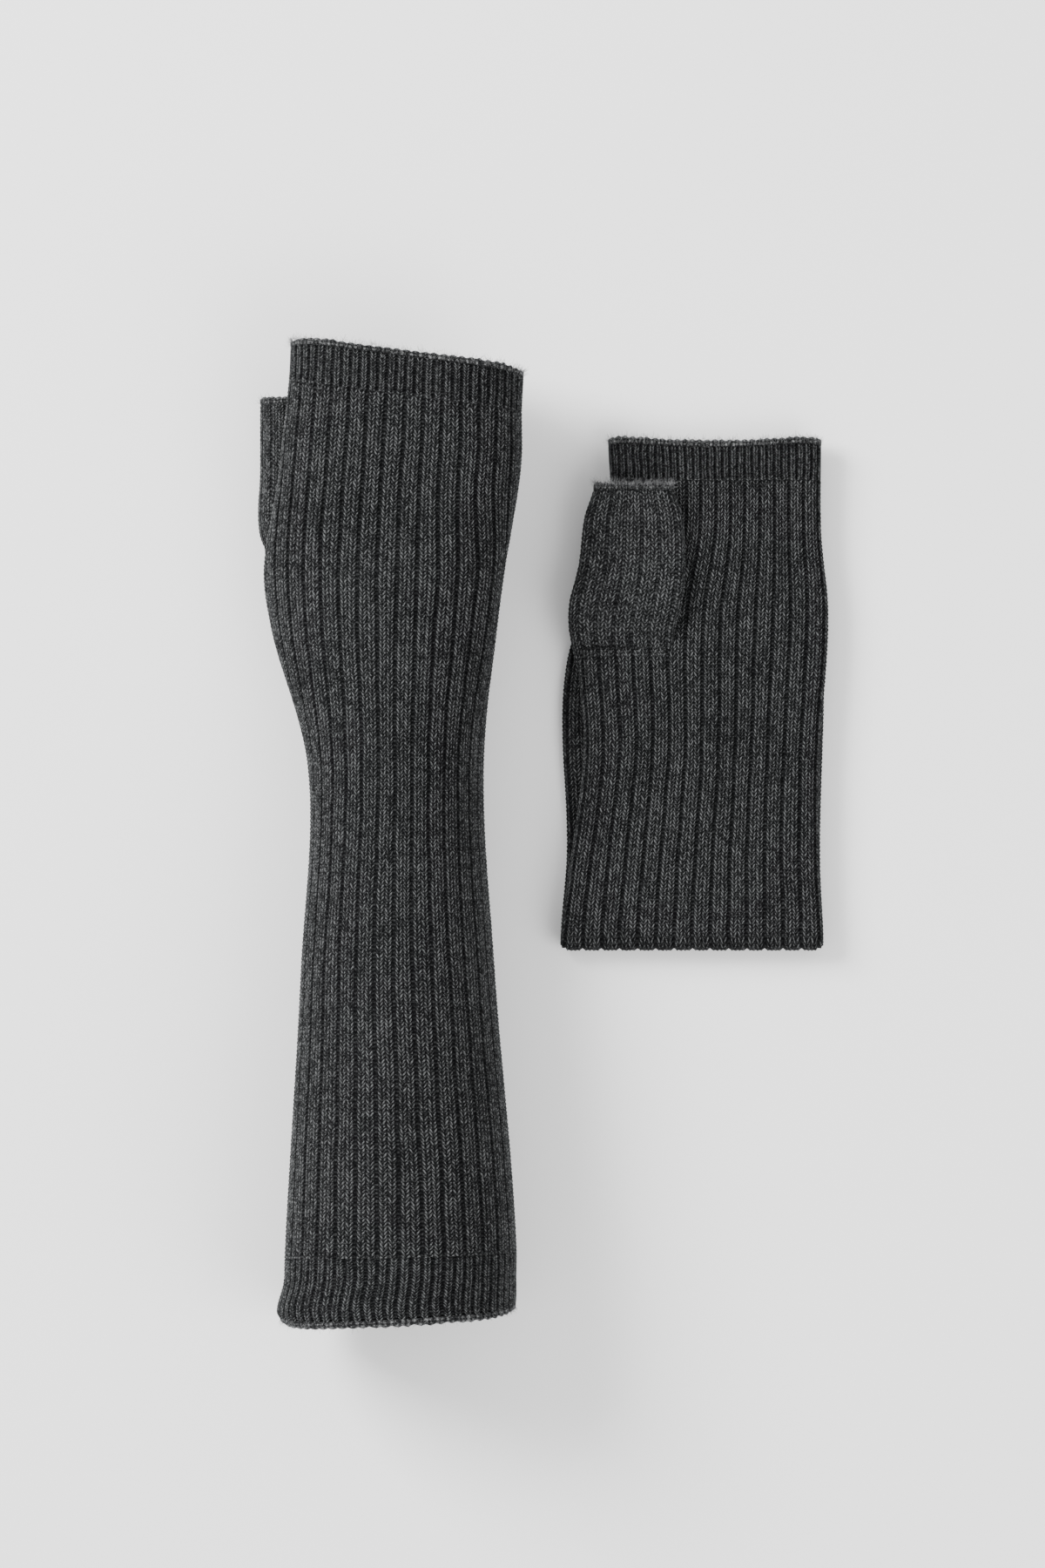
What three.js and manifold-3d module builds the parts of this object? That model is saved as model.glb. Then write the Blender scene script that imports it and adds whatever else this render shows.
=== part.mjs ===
// A pair of long, ribbed, fingerless gloves. The right one is open and full, as on an arm; the left one
// is empty, pressed flat and folded in half with its palm up. Millimetres, fingers towards +Y, +Z up.
// Every zone of knit is a tube wall with open ends. A tube runs from its arm edge to its finger edge,
// and a place on it is a course (distance along the knitting), an angle round it and a depth into it.
import * as THREE from 'three';
import { mergeVertices } from 'three/addons/utils/BufferGeometryUtils.js';
import Module from 'manifold-3d';

// ---- the knit ---------------------------------------------------------------------------------
const WALL = 2.0; // thickness of the ribbed fabric
const ZONE_GAP = 0.3; // clearance between neighbouring zones
const EDGE_LENGTH = 2.4; // cast-on or bound-off edge
const EDGE_ROLL = 0.5; // how much deeper the rolled edge is than the fabric
const JOIN_WIDTH = 1.3; // linking stitches round the thumb's root
const SIDES = 24; // facets round a sleeve, a multiple of four so that flats stay level
const THUMB_SIDES = 20; // facets round a thumb, a multiple of four too

// ---- right glove, as worn ---------------------------------------------------------------------
const ARM_CUFF_LENGTH = 21;
const FOREARM_LENGTH = 139;
const WRIST_LENGTH = 60;
const HAND_LENGTH = 96;
const FINGER_CUFF_LENGTH = 13.2;
const ARM = { width: 80, depth: 70, shift: 1.8 };
const MID_FOREARM = { width: 67, depth: 62, shift: 0.8 };
const WRIST = { width: 61, depth: 52, shift: 0 };
const THUMB_ROOT = { width: 83.4, depth: 48, shift: -4 };
const HAND = { width: 80.4, depth: 34, shift: 3.4 };
const HAND_LIFT = 19.5; // palm above the table, over the thumb
const HAND_FLAT = 12; // half length of the level stretch across the back of the hand
const THENAR_DROP = 9; // the thumb side of the hand hangs this much below its middle
const ARM_SLANT = 0.055; // rise of the arm edge across its width
const FINGER_SLANT = -0.13; // fall of the finger edge towards the little finger
const THUMB_START = 34; // from the wrist zone's end to the start of the thumb
const THUMB_LENGTH = 62;
const THUMB_RADIUS = 11.6;
const THUMB_ROOT_RADIUS = 13.2;
const THUMB_INSET = 1.3; // the thumb's outer side stands this far outside the root's
const JOIN_LENGTH = 30; // stretch of the thumb along which it is linked to the hand

// ---- left glove, flat and folded ----------------------------------------------------------------
const FLAT_HOLLOW = 1.6; // air left inside the pressed tube
const FOLD_GAP = 0.4; // between the two folded halves
const GLOVES_APART = 102.3; // the right glove's wrist to the middle of the left one's fold
const FOLD_LINE = 133; // from the right glove's arm edge to where the left one's halves start to bend
const UPPER_LENGTH = 173; // fold line to finger edge
const LOWER_LENGTH = 165; // fold line to arm edge, hidden under the upper half
const FLAT_WRIST_LENGTH = 62; // stretch of the upper half below the hand
const FLAT_FOLD = { width: 91, shift: 0 };
const FLAT_FOREARM = { width: 87, shift: 2.3 };
const FLAT_ARM = { width: 69, shift: 8.5 };
const FLAT_WRIST = { width: 82, shift: 3.3 };
const FLAT_PALM = { width: 86, shift: 4.2 };
const FLAT_HAND = { width: 74, shift: 7.8 };
const FLAT_THUMB_START = 94; // fold line to the buried start of the thumb
const FLAT_THUMB_LENGTH = 62;
const FLAT_THUMB_RISE = 14; // length over which the thumb climbs out of the palm
const FLAT_THUMB = { rootWidth: 38, midWidth: 39, endWidth: 27.5, rootX: -23.5, midX: -20.4, endX: -18.6 };

const wasm = await Module();
wasm.setup();

// ---- closed bodies ------------------------------------------------------------------------------
function signedVolume(positions, faces) {
  let volume = 0;
  const corner = [new THREE.Vector3(), new THREE.Vector3(), new THREE.Vector3()];
  for (let i = 0; i < faces.length; i += 3) {
    corner.forEach((point, j) => point.fromArray(positions, 3 * faces[i + j]));
    volume += corner[0].dot(corner[1].cross(corner[2])) / 6;
  }
  return volume;
}

/** Welds a lathed body's seam and turns its faces outwards. */
function closed(geometry) {
  geometry.deleteAttribute('normal');
  geometry.deleteAttribute('uv');
  const welded = mergeVertices(geometry, 1e-4);
  const faces = [];
  const index = welded.index.array;
  for (let i = 0; i < index.length; i += 3) {
    const [a, b, c] = index.slice(i, i + 3);
    if (a !== b && b !== c && c !== a) faces.push(a, b, c);
  }
  if (signedVolume(welded.attributes.position.array, faces) < 0) faces.reverse();
  welded.setIndex(faces);
  return welded;
}

function toSolid(geometry) {
  return new wasm.Manifold(new wasm.Mesh({
    numProp: 3,
    vertProperties: new Float32Array(geometry.attributes.position.array),
    triVerts: new Uint32Array(geometry.index.array),
  }));
}

function toGeometry(solid) {
  const mesh = solid.getMesh();
  const geometry = new THREE.BufferGeometry();
  geometry.setAttribute('position', new THREE.BufferAttribute(mesh.vertProperties, 3));
  geometry.setIndex([...mesh.triVerts]);
  return geometry;
}

// ---- tubes --------------------------------------------------------------------------------------
// A lathe makes the ring. Its radius is 2 on the fabric's outer face, 1 on its inner face and 0 on the
// axis, and `place` then moves every point to where the glove has it.
const OUTER = 2;
const INNER = 1;

function placed(profile, sides, wall, place) {
  const lathe = new THREE.LatheGeometry(profile, sides, Math.PI / sides);
  const points = lathe.attributes.position;
  for (let i = 0; i < points.count; i++) {
    const radius = Math.hypot(points.getX(i), points.getZ(i));
    const angle = Math.atan2(points.getX(i), points.getZ(i));
    const reach = radius < INNER / 2 ? 0 : 1;
    const spot = place(points.getY(i), angle, (OUTER - radius) * wall, reach);
    points.setXYZ(i, spot.x, spot.y, spot.z);
  }
  return closed(lathe);
}

const rowsBetween = (from, to, steps) =>
  Array.from({ length: steps + 1 }, (_, i) => THREE.MathUtils.lerp(from, to, i / steps));

/** The fabric between two courses: a wall with an open way through. */
function tubeWall(from, to, steps, sides, place, wall = WALL) {
  const rows = rowsBetween(from, to, steps);
  const outside = rows.map((s) => new THREE.Vector2(OUTER, s));
  const inside = rows.map((s) => new THREE.Vector2(INNER, s)).reverse();
  return placed([...outside, ...inside, outside[0].clone()], sides, wall, place);
}

/** Everything inside the tube, its faces moved inwards by depth (outwards where it is negative). */
function tubeCore(rows, sides, place, depth) {
  const skin = rows.map((s) => new THREE.Vector2(OUTER, s));
  const profile = [new THREE.Vector2(0, rows[0]), ...skin, new THREE.Vector2(0, rows.at(-1))];
  return toSolid(placed(profile, sides, 0, (s, angle, _, reach) => place(s, angle, depth, reach)));
}

/** A section is two half ovals, `flat` either side of the middle, with one side lower by `tilt`. */
function sectionPoint(section, sides, angle, depth, reach) {
  const across = Math.cos(angle);
  const up = Math.sin(angle) / Math.cos(Math.PI / sides);
  const x = Math.sign(across) * section.flat + (section.rx - depth) * across;
  const z = (section.rz - depth) * up + (section.tilt * x) / (section.flat + section.rx);
  return { x: section.x + reach * x, z: section.z + reach * z };
}

/** Smooth values through a list of [station, value, value, ...]. */
function through(stations) {
  const size = stations[0].length - 1;
  const values = stations.flatMap((station) => station.slice(1));
  return new THREE.CubicInterpolant(stations.map((station) => station[0]), values, size);
}

// ---- right glove --------------------------------------------------------------------------------
const armCuffFrom = EDGE_LENGTH;
const forearmFrom = armCuffFrom + ARM_CUFF_LENGTH;
const wristFrom = forearmFrom + FOREARM_LENGTH;
const handFrom = wristFrom + WRIST_LENGTH;
const fingerCuffFrom = handFrom + HAND_LENGTH;
const fingerEdgeFrom = fingerCuffFrom + FINGER_CUFF_LENGTH;
const wornLength = fingerEdgeFrom + EDGE_LENGTH;
const thumbFrom = handFrom + THUMB_START;

// course, x of the middle, half width, half depth, lift of the lowest point, level half length, tilt
const resting = (size, tilt = 0) => [size.shift, size.width / 2, size.depth / 2, 0, 0, tilt];
const lifted = (size, shift, lift, tilt) =>
  [size.shift + shift, size.width / 2, size.depth / 2, lift, HAND_FLAT, tilt];
const wornSections = through([
  [0, ...resting(ARM)],
  [forearmFrom, ...resting(ARM)],
  [forearmFrom + FOREARM_LENGTH * 0.7, ...resting(MID_FOREARM)],
  [wristFrom + WRIST_LENGTH / 2, ...resting(WRIST)],
  [thumbFrom - THUMB_START / 2, ...resting({ ...THUMB_ROOT, width: THUMB_ROOT.width - 5 }, THENAR_DROP * 0.7)],
  [thumbFrom + 2, ...resting(THUMB_ROOT, THENAR_DROP)],
  [thumbFrom + THUMB_LENGTH * 0.5, ...lifted(HAND, -1.4, HAND_LIFT - 1, 3)],
  [fingerCuffFrom, ...lifted(HAND, 0, HAND_LIFT, 2)],
  [wornLength, ...lifted(HAND, 0.6, HAND_LIFT, 1)],
]);

function wornSection(course) {
  const [x, halfWidth, rz, lift, flat, tilt] = wornSections.evaluate(course);
  const low = Math.hypot(rz / Math.cos(Math.PI / SIDES), tilt);
  return { x, rx: halfWidth - flat, rz, z: Math.max(lift, 0) + (tilt ? low : rz), flat, tilt };
}

/** Slope of a course across the glove: level at mid forearm, slanting towards both ends. */
function slantAt(course) {
  const towardsArm = 1 - THREE.MathUtils.smoothstep(course, 0, forearmFrom * 2);
  const towardsFingers = THREE.MathUtils.smoothstep(course, thumbFrom, fingerCuffFrom);
  return ARM_SLANT * towardsArm + FINGER_SLANT * towardsFingers;
}

function onWorn(course, angle, depth, reach = 1) {
  const section = wornSection(course);
  const { x, z } = sectionPoint(section, SIDES, angle, depth, reach);
  return new THREE.Vector3(x, course + slantAt(course) * (x - section.x), z);
}

const rootSide = wornSection(thumbFrom);
const thumbOuterX = rootSide.x - rootSide.rx - rootSide.flat - THUMB_INSET;
// course along the thumb, x of the middle, radius, height of the middle
const wornThumbSections = through([
  [0, thumbOuterX + 17, THUMB_ROOT_RADIUS - 2.2, 15.5],
  [14, thumbOuterX + THUMB_ROOT_RADIUS, THUMB_ROOT_RADIUS, THUMB_ROOT_RADIUS],
  [THUMB_LENGTH * 0.6, thumbOuterX + THUMB_RADIUS, THUMB_RADIUS, THUMB_RADIUS],
  [THUMB_LENGTH, thumbOuterX + THUMB_RADIUS, THUMB_RADIUS, THUMB_RADIUS],
]);

function onWornThumb(course, angle, depth, reach = 1) {
  const [x, radius, height] = wornThumbSections.evaluate(course);
  const z = Math.max(height, radius); // on the table, not in it
  const section = { x, z, rx: radius, rz: radius, flat: 0, tilt: 0 };
  const point = sectionPoint(section, THUMB_SIDES, angle, depth, reach);
  return new THREE.Vector3(point.x, thumbFrom + course, point.z);
}

// ---- left glove ---------------------------------------------------------------------------------
const halfThick = WALL + FLAT_HOLLOW / 2;
const bendRadius = halfThick + FOLD_GAP / 2; // of the tube's middle plane round the fold
const bendLength = Math.PI * bendRadius;
const foldHeight = 2 * halfThick + FOLD_GAP / 2;
const bendFrom = LOWER_LENGTH;
const bendTo = bendFrom + bendLength;
const flatLength = bendTo + UPPER_LENGTH;
const flatHandFrom = bendTo + FLAT_WRIST_LENGTH;
const flatFingerCuffFrom = flatLength - EDGE_LENGTH - FINGER_CUFF_LENGTH;

// course, x of the middle, half width
const flatRow = (size) => [GLOVES_APART + size.shift, size.width / 2];
const flatSections = through([
  [0, ...flatRow(FLAT_ARM)],
  [EDGE_LENGTH + ARM_CUFF_LENGTH, ...flatRow(FLAT_ARM)],
  [bendFrom - 95, ...flatRow(FLAT_FOREARM)],
  [bendFrom - 26, ...flatRow({ width: FLAT_FOLD.width - 3, shift: FLAT_FOLD.shift + 0.5 })],
  [bendFrom, ...flatRow(FLAT_FOLD)],
  [bendTo, ...flatRow(FLAT_FOLD)],
  [bendTo + 22, ...flatRow({ width: FLAT_FOLD.width - 4, shift: FLAT_FOLD.shift + 0.8 })],
  [flatHandFrom, ...flatRow(FLAT_WRIST)],
  [flatHandFrom + 50, ...flatRow(FLAT_PALM)],
  [flatHandFrom + 76, ...flatRow(FLAT_HAND)],
  [flatLength, ...flatRow(FLAT_HAND)],
]);

/** Where a point of the tube lands once it is folded; `inner` is its height towards the fold's inside. */
function folded(course, x, inner) {
  if (course <= bendFrom) return new THREE.Vector3(x, FOLD_LINE + bendFrom - course, halfThick + inner);
  if (course >= bendTo) {
    return new THREE.Vector3(x, FOLD_LINE + course - bendTo, foldHeight + bendRadius - inner);
  }
  const turn = (course - bendFrom) / bendRadius;
  const radius = bendRadius - inner;
  return new THREE.Vector3(x, FOLD_LINE - radius * Math.sin(turn), foldHeight - radius * Math.cos(turn));
}

function onFlat(course, angle, depth, reach = 1) {
  const [x, halfWidth] = flatSections.evaluate(course);
  const section = { x, z: 0, rx: halfThick, rz: halfThick, flat: halfWidth - halfThick, tilt: 0 };
  const point = sectionPoint(section, SIDES, angle, depth, reach);
  return folded(course, point.x, point.z);
}

const thumbRest = foldHeight + bendRadius + 2 * halfThick + ZONE_GAP; // its middle, lying on the palm
const thumbBuried = foldHeight + bendRadius;
// course along the thumb, x of the middle, half width, height of the middle
const thumbX = (x) => GLOVES_APART + x;
const flatThumbSections = through([
  [0, thumbX(FLAT_THUMB.rootX + 1), FLAT_THUMB.rootWidth / 2 - 6, thumbBuried],
  [FLAT_THUMB_RISE, thumbX(FLAT_THUMB.rootX + 1), FLAT_THUMB.rootWidth / 2, thumbRest],
  [FLAT_THUMB_RISE + 14, thumbX(FLAT_THUMB.midX), FLAT_THUMB.midWidth / 2, thumbRest],
  [FLAT_THUMB_LENGTH - 12, thumbX(FLAT_THUMB.endX), FLAT_THUMB.endWidth / 2 + 3, thumbRest],
  [FLAT_THUMB_LENGTH, thumbX(FLAT_THUMB.endX), FLAT_THUMB.endWidth / 2, thumbRest],
]);

function onFlatThumb(course, angle, depth, reach = 1) {
  const [x, halfWidth, z] = flatThumbSections.evaluate(course);
  const section = { x, z, rx: halfThick, rz: halfThick, flat: halfWidth - halfThick, tilt: 0 };
  const point = sectionPoint(section, THUMB_SIDES, angle, depth, reach);
  return new THREE.Vector3(point.x, FOLD_LINE + FLAT_THUMB_START + course, point.z);
}

const CUT_PAST = 5; // how far a cutting body runs past the ends of what it cuts

// ---- hand, thumb and the join between them --------------------------------------------------------
/** The hand with the thumb's way out, the sleeve outside it, and the linking stitches round its root. */
function handAndThumb(hand, thumb, joinFloor) {
  const handRows = rowsBetween(hand.from, hand.to, hand.steps);
  const handRowsPast = [hand.from - CUT_PAST, ...handRows, hand.to + CUT_PAST];
  const thumbRows = rowsBetween(0, thumb.to, thumb.steps);
  const thumbRowsPast = [...thumbRows, thumb.to + CUT_PAST];
  const longHandCore = (depth) => tubeCore(handRowsPast, SIDES, hand.place, depth);
  const thumbCore = (depth) => tubeCore(thumbRows, THUMB_SIDES, thumb.place, depth);
  const longThumbCore = (depth) => tubeCore(thumbRowsPast, THUMB_SIDES, thumb.place, depth);
  const thumbHole = longThumbCore(WALL);
  const handCore = tubeCore(handRows, SIDES, hand.place, 0);
  const palm = handCore.subtract(longHandCore(WALL)).subtract(longThumbCore(-ZONE_GAP));
  const sleeve = thumbCore(0).subtract(thumbHole).subtract(longHandCore(-ZONE_GAP));
  const bead = ZONE_GAP + JOIN_WIDTH;
  const root = tubeCore(thumbRows.filter((s) => s < JOIN_LENGTH), THUMB_SIDES, thumb.place, -bead);
  const join = root.intersect(longHandCore(-bead))
    .subtract(thumbCore(-ZONE_GAP)).subtract(longHandCore(-ZONE_GAP)).subtract(thumbHole)
    .trimByPlane([0, 0, 1], joinFloor);
  return { palm: largest(palm), sleeve: largest(sleeve), join: largest(join) };
}

/** Booleans leave slivers beside the body; the body is the biggest piece. */
function largest(solid) {
  const pieces = solid.decompose();
  pieces.sort((a, b) => b.volume() - a.volume());
  return toGeometry(pieces[0]);
}

const worn = handAndThumb(
  { from: handFrom + ZONE_GAP, to: fingerCuffFrom - ZONE_GAP, steps: 9, place: onWorn },
  { to: THUMB_LENGTH - EDGE_LENGTH - ZONE_GAP, steps: 6, place: onWornThumb },
  0,
);
const flat = handAndThumb(
  { from: flatHandFrom, to: flatFingerCuffFrom - ZONE_GAP, steps: 7, place: onFlat },
  { to: FLAT_THUMB_LENGTH - EDGE_LENGTH - ZONE_GAP, steps: 6, place: onFlatThumb },
  thumbBuried,
);

// ---- the pair -----------------------------------------------------------------------------------
const RIB_YARN = '#38393a';
const CUFF_YARN = '#333435';
const THUMB_YARN = '#3a3b3c';
const EDGE_YARN = '#454648';
const gloves = new THREE.Group();

function knit(name, yarn, geometry) {
  const material = new THREE.MeshStandardMaterial({ color: yarn, roughness: 0.95, metalness: 0 });
  geometry.computeVertexNormals();
  const mesh = new THREE.Mesh(geometry, material);
  mesh.name = name;
  gloves.add(mesh);
}

/** One zone of a sleeve, stopping short of the next zone. */
const zone = (from, to, steps, place) => tubeWall(from, to - ZONE_GAP, steps, SIDES, place);

/** A rolled edge, deeper into the tube than the fabric beside it. */
const edge = (from, sides, place) => tubeWall(from, from + EDGE_LENGTH, 1, sides, place, WALL + EDGE_ROLL);

knit('right_arm_edge', EDGE_YARN, edge(0, SIDES, onWorn));
knit('right_arm_cuff', CUFF_YARN, zone(armCuffFrom + ZONE_GAP, forearmFrom, 2, onWorn));
knit('right_forearm', RIB_YARN, zone(forearmFrom, wristFrom, 5, onWorn));
knit('right_wrist', RIB_YARN, zone(wristFrom, handFrom, 5, onWorn));
knit('right_hand', RIB_YARN, worn.palm);
knit('right_thumb_join', EDGE_YARN, worn.join);
knit('right_thumb_sleeve', THUMB_YARN, worn.sleeve);
knit('right_thumb_edge', EDGE_YARN, edge(THUMB_LENGTH - EDGE_LENGTH, THUMB_SIDES, onWornThumb));
knit('right_finger_cuff', CUFF_YARN, zone(fingerCuffFrom, fingerEdgeFrom, 2, onWorn));
knit('right_finger_edge', EDGE_YARN, edge(fingerEdgeFrom, SIDES, onWorn));

const flatCuffFrom = EDGE_LENGTH + ZONE_GAP;
const flatForearmFrom = EDGE_LENGTH + ARM_CUFF_LENGTH;
// the pressed tube has no room for a deeper rolled edge, so its edges are as thick as the fabric
const flatEdge = (from, sides, place) => tubeWall(from, from + EDGE_LENGTH, 1, sides, place);

knit('left_arm_edge', EDGE_YARN, flatEdge(0, SIDES, onFlat));
knit('left_arm_cuff', CUFF_YARN, zone(flatCuffFrom, flatForearmFrom, 2, onFlat));
knit('left_forearm', RIB_YARN, zone(flatForearmFrom, bendFrom, 6, onFlat));
knit('left_fold', RIB_YARN, zone(bendFrom, bendTo, 8, onFlat));
knit('left_wrist', RIB_YARN, zone(bendTo, flatHandFrom, 4, onFlat));
knit('left_hand', RIB_YARN, flat.palm);
knit('left_thumb_join', EDGE_YARN, flat.join);
knit('left_thumb_sleeve', THUMB_YARN, flat.sleeve);
knit('left_thumb_edge', EDGE_YARN, flatEdge(FLAT_THUMB_LENGTH - EDGE_LENGTH, THUMB_SIDES, onFlatThumb));
knit('left_finger_cuff', CUFF_YARN, zone(flatFingerCuffFrom, flatLength - EDGE_LENGTH, 2, onFlat));
knit('left_finger_edge', EDGE_YARN, flatEdge(flatLength - EDGE_LENGTH, SIDES, onFlat));

// the origin is under the middle of the pair, on the table
const box = new THREE.Box3().setFromObject(gloves, true);
const middle = box.getCenter(new THREE.Vector3());
gloves.traverse((item) => item.geometry?.translate(-middle.x, -middle.y, -box.min.z));

export default gloves;
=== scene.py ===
import math

import bmesh
import bpy
import numpy as np
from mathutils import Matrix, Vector


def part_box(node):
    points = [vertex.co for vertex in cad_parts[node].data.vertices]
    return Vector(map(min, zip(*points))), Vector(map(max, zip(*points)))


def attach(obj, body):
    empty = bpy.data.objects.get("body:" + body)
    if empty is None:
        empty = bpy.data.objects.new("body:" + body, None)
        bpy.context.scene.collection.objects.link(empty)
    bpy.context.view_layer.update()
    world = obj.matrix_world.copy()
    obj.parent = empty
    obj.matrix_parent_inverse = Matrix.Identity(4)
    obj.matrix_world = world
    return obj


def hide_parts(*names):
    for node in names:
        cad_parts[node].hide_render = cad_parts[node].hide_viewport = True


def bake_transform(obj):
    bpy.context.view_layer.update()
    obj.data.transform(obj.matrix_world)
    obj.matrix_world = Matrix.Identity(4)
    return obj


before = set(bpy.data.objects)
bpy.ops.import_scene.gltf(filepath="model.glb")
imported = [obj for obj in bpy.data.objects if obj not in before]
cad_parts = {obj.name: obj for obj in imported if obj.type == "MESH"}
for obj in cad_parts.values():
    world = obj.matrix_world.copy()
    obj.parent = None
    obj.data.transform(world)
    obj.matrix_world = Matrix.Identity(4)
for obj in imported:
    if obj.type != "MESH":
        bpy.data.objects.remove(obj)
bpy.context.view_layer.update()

# ---- camera ---------------------------------------------------------------------------------------
# The pair lies on a white table and is seen from straight above, fingers up the picture. A long lens
# from high above keeps both gloves square to the view.
PICTURE_HEIGHT = 0.540      # table covered from the picture's bottom to its top, in metres
CAMERA_HEIGHT = 5.0
SENSOR = 36.0
SUBJECT_HEIGHT = 0.022      # where the gloves' outlines are, above the table
PICTURE_MIDDLE = (-0.0072, 0.0165)

camera_data = bpy.data.cameras.new("camera")
camera_data.sensor_fit = "VERTICAL"
camera_data.sensor_height = SENSOR
camera_data.lens = SENSOR * (CAMERA_HEIGHT - SUBJECT_HEIGHT) / PICTURE_HEIGHT
camera = bpy.data.objects.new("camera", camera_data)
camera.location = (PICTURE_MIDDLE[0], PICTURE_MIDDLE[1], CAMERA_HEIGHT)
bpy.context.scene.collection.objects.link(camera)
bpy.context.scene.camera = camera

# ---- right forearm --------------------------------------------------------------------------------
# The long middle of the sleeve: marled charcoal wool yarn knitted in a two-by-two rib, two columns of
# V stitches and then two reversed ones that sink into a groove. It is stretched round the arm's shape.
WALL = 0.0020               # thickness of the fabric
RIBS = 30                   # round the sleeve
STITCH = 0.00139            # height of one course of the body
ROWS = 3                    # rows of faces to one course
FIRST_ROW = 1               # zones of knit meet this many rows up a stitch, where its arms are fullest
BACK_ROW = 0.012            # height of a row of faces on the reverse
SETTLE = np.random.default_rng(11)

# one rib, groove to groove: place across it, depth of a stitch's crown in millimetres, depth between
# stitches, how far up its V the place is, and place along the yarn
RIB = np.array([
    (0.000, 1.05, 1.15, 1.0, 0.0),
    (0.075, 0.70, 1.00, 1.0, 0.5),
    (0.178, 0.10, 0.72, 0.5, 1.0),
    (0.288, 0.42, 0.74, 0.0, 1.5),
    (0.394, 0.00, 0.62, 0.5, 2.0),
    (0.500, 0.46, 0.78, 1.0, 2.5),
    (0.606, 0.00, 0.62, 0.5, 3.0),
    (0.712, 0.42, 0.74, 0.0, 3.5),
    (0.822, 0.10, 0.72, 0.5, 4.0),
    (0.925, 0.70, 1.00, 1.0, 4.5),
])
DEEPEST = 1.15              # millimetres to the bottom of a groove
CLIMB = 1.35                # how far a stitch's arms climb, in courses
UNEVEN = 0.00010            # hand of the knit: how much a stitch wanders
ROUGH = 0.06                # millimetres that single places stand off the yarn's surface


def through(stations, at):
    """Smooth values through rows of [station, value, ...], taken at an array of places."""
    table = np.array(stations, float)
    knots, values = table[:, 0], table[:, 1:]
    last = len(knots) - 1
    i = np.clip(np.searchsorted(knots, at, side="right") - 1, 0, last - 1)
    before, after = np.maximum(i - 1, 0), np.minimum(i + 2, last)
    span = knots[i + 1] - knots[i]
    t = np.clip((at - knots[i]) / span, 0, 1)
    gap_before = np.where(i > 0, knots[i] - knots[before], span)
    gap_after = np.where(i + 2 <= last, knots[after] - knots[i + 1], span)
    first = np.where((i > 0)[:, None], values[before], values[i + 1])
    final = np.where((i + 2 <= last)[:, None], values[after], values[i])
    lean, pull = span / 2 / gap_before, span / 2 / gap_after
    weights = (
        -lean * t**3 + 2 * lean * t**2 - lean * t,
        (1 + lean) * t**3 + (-1.5 - 2 * lean) * t**2 + (lean - 0.5) * t + 1,
        (-1 - pull) * t**3 + (1.5 + pull) * t**2 + 0.5 * t,
        pull * t**3 - pull * t**2,
    )
    rows = (first, values[i], values[i + 1], final)
    return sum(weight[:, None] * row for weight, row in zip(weights, rows))


def smoothstep(value, low, high):
    t = np.clip((value - low) / (high - low), 0, 1)
    return t * t * (3 - 2 * t)


# the worn sleeve's shape: metres from its arm edge, and sections between there and its finger edge
EDGE_LENGTH = 0.0024
ARM_CUFF_LENGTH = 0.021
FINGER_CUFF_LENGTH = 0.0132
ARM_SHIFT = 0.0018
ARM_SLANT = 0.055
FINGER_SLANT = -0.13
arm_edge_low, arm_edge_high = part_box("right_arm_edge")
wrist_x = (arm_edge_low[0] + arm_edge_high[0]) / 2 - ARM_SHIFT
worn_start = arm_edge_low[1] + ARM_SLANT * (arm_edge_high[0] - arm_edge_low[0]) / 2
forearm_from = EDGE_LENGTH + ARM_CUFF_LENGTH
wrist_from = forearm_from + 0.139
hand_from = wrist_from + 0.060
finger_cuff_from = hand_from + 0.096
finger_edge_from = finger_cuff_from + FINGER_CUFF_LENGTH
worn_length = finger_edge_from + EDGE_LENGTH
thumb_from = hand_from + 0.034
# course, x of the middle, half width, half depth, lift, level half length, tilt
WORN_SECTIONS = [
    (0, ARM_SHIFT - 0.0008, 0.0404, 0.0350, 0, 0, 0),
    (0.006, ARM_SHIFT - 0.0014, 0.0413, 0.0350, 0, 0, 0),
    (0.016, ARM_SHIFT - 0.0002, 0.0401, 0.0350, 0, 0, 0),
    (forearm_from, ARM_SHIFT, 0.0400, 0.0350, 0, 0, 0),
    (forearm_from + 0.0973, 0.0008, 0.0335, 0.0310, 0, 0, 0),
    (wrist_from + 0.030, 0, 0.0305, 0.0260, 0, 0, 0),
    (thumb_from - 0.017, -0.0040, 0.0392, 0.0240, 0, 0, 0.0063),
    (thumb_from + 0.002, -0.0040, 0.0417, 0.0240, 0, 0, 0.0090),
    (thumb_from + 0.031, 0.0008, 0.0414, 0.0170, 0.0185, 0.012, 0.0030),
    (thumb_from + 0.046, 0.0025, 0.0411, 0.0170, 0.0192, 0.012, 0.0024),
    (finger_cuff_from, 0.0034, 0.0402, 0.0170, 0.0195, 0.012, 0.0020),
    (worn_length, 0.0040, 0.0402, 0.0170, 0.0195, 0.012, 0.0010),
]
# course, how far the ribs on top lie to the right of the section's middle
WORN_RIB_LINE = [
    (0, 0),
    (wrist_from + 0.030, 0),
    (thumb_from - 0.017, 0.0042),
    (thumb_from + 0.002, 0.0046),
    (thumb_from + 0.031, 0.0010),
    (finger_cuff_from, 0),
    (worn_length, 0),
]
OUTLINE_STEPS = 240


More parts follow.
